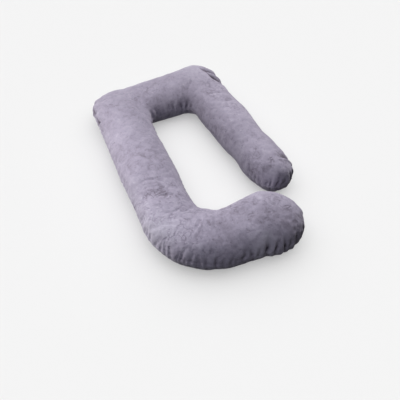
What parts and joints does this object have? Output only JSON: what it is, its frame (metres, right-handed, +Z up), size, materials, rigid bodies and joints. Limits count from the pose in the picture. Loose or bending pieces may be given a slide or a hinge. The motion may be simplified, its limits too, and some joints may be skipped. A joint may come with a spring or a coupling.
{
  "type": "body pillow",
  "caption": "G-shaped full-body pillow: one filled cushion bent round a sleeping space, with a head section, a long and a short leg, and a broad lobe at the foot.",
  "frame": {"origin": "centre of the footprint, on the surface that the pillow lies on", "axes": "+Y to the head section, +X to the short leg behind the sleeper's back, +Z up, square to the panels"},
  "size_m": [0.832, 1.3454, 0.2157],
  "materials": {
    "velvet_cover": "short-pile crushed velvet, grey lilac, matte with a soft sheen"
  },
  "bodies": {
    "root": {"body_pillow": "velvet_cover"}
  },
  "joints": []
}
